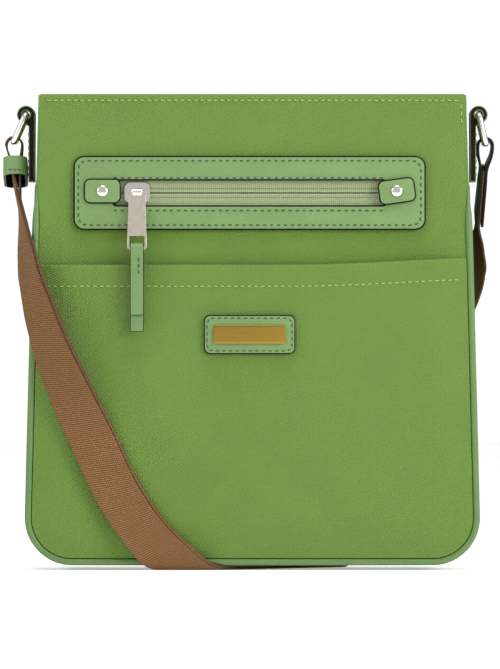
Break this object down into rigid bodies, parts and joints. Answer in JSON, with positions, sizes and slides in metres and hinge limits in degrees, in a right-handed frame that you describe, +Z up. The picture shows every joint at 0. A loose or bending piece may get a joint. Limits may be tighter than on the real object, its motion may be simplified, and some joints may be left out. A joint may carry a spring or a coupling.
{
  "type": "crossbody purse",
  "caption": "Flat nylon crossbody purse with leather trim: framed front zip pocket, slip pocket, recessed top zip, side rings and a doubled webbing strap wrapped around the bag.",
  "frame": {"origin": "on the ground under the middle of the bag, on the underside of the wrapped strap that it stands on", "axes": "+Z up, +X to the right seen from the front, the front with the zip pocket faces -Y"},
  "size_m": [0.2711, 0.0997, 0.2615],
  "materials": {
    "nylon": "smooth coated twill",
    "leather": "pebbled, painted dark edges",
    "webbing": "ribbed webbing",
    "zip_tape": "woven tape",
    "nickel": "polished warm nickel",
    "brass": "brushed",
    "lining_cloth": "plain weave",
    "board": "plain"
  },
  "bodies": {
    "bag": {"front_panel": "nylon", "back_panel": "nylon", "gusset": "nylon", "piping_front": "leather", "piping_back": "leather", "front_pocket_panel": "nylon", "name_patch": "leather", "name_plate": "brass", "front_zip_plaque": "leather", "zip_end_tab_left": "leather", "rivet_left": "nickel", "zip_end_tab_right": "leather", "rivet_right": "nickel", "front_zip_tape_upper": "zip_tape", "front_zip_coil_upper": "zip_tape", "front_zip_tape_lower": "zip_tape", "front_zip_coil_lower": "zip_tape", "front_zip_pouch": "lining_cloth", "lining": "lining_cloth", "base_board": "board", "inner_pocket": "lining_cloth", "top_facing_front": "nylon", "top_zip_tape_front": "zip_tape", "top_zip_coil_front": "zip_tape", "top_facing_back": "nylon", "top_zip_tape_back": "zip_tape", "top_zip_coil_back": "zip_tape", "ring_tab_left": "leather", "ring_tab_right": "leather", "strap_front_outer": "webbing", "strap_under_outer": "webbing", "strap_front_inner": "webbing", "strap_under_inner": "webbing", "strap_back_outer": "webbing", "strap_back_inner": "webbing", "strap_drop_outer": "webbing", "strap_drop_inner": "webbing", "strap_rise": "webbing"},
    "front_slider": {"front_zip_slider": "nickel"},
    "front_pull": {"front_pull_tag": "nickel"},
    "front_thong": {"front_pull_thong": "leather"},
    "top_slider": {"top_zip_slider": "nickel"},
    "top_pull": {"top_pull_tag": "nickel"},
    "left_ring": {"ring_left": "nickel", "strap_loop_left": "webbing"},
    "keeper": {"strap_keeper": "leather"},
    "right_ring": {"ring_right": "nickel", "strap_end_tab": "leather", "strap_end_webbing": "webbing"},
    "adjuster": {"slide_adjuster": "nickel"}
  },
  "joints": [
    {"name": "front_zip_slide", "type": "slide", "parent": "bag", "child": "front_slider", "axis": [1, 0, 0], "range_m": [0, 0.123]},
    {"name": "front_pull_swing", "type": "hinge", "parent": "front_slider", "child": "front_pull", "pos_m": [-0.0634, -0.03172, 0.20767], "axis": [-1, 0, 0], "range_deg": [0, 110]},
    {"name": "front_thong_swing", "type": "hinge", "parent": "front_pull", "child": "front_thong", "pos_m": [-0.0634, -0.03946, 0.17662], "axis": [-1, 0, 0], "range_deg": [0, 60]},
    {"name": "top_zip_slide", "type": "slide", "parent": "bag", "child": "top_slider", "axis": [1, 0, 0], "range_m": [0, 0.186]},
    {"name": "top_pull_swing", "type": "hinge", "parent": "top_slider", "child": "top_pull", "pos_m": [-0.098, 0, 0.2527], "axis": [0, -1, 0], "range_deg": [0, 140]},
    {"name": "left_ring_swing", "type": "hinge", "parent": "bag", "child": "left_ring", "pos_m": [-0.125, 0, 0.2509], "axis": [0, 1, 0], "range_deg": [0, 40], "deforming": ["strap_drop_outer", "strap_drop_inner"]},
    {"name": "keeper_slide", "type": "slide", "parent": "left_ring", "child": "keeper", "axis": [0, -0.2493, -0.9684], "range_m": [-0.001, 0.005]},
    {"name": "right_ring_swing", "type": "hinge", "parent": "bag", "child": "right_ring", "pos_m": [0.125, 0, 0.2509], "axis": [0, -1, 0], "range_deg": [0, 40], "deforming": ["strap_rise"]},
    {"name": "adjuster_slide", "type": "slide", "parent": "bag", "child": "adjuster", "axis": [-0.4067, 0, -0.9135], "range_m": [0, 0.06], "deforming": ["strap_back_inner"]}
  ]
}
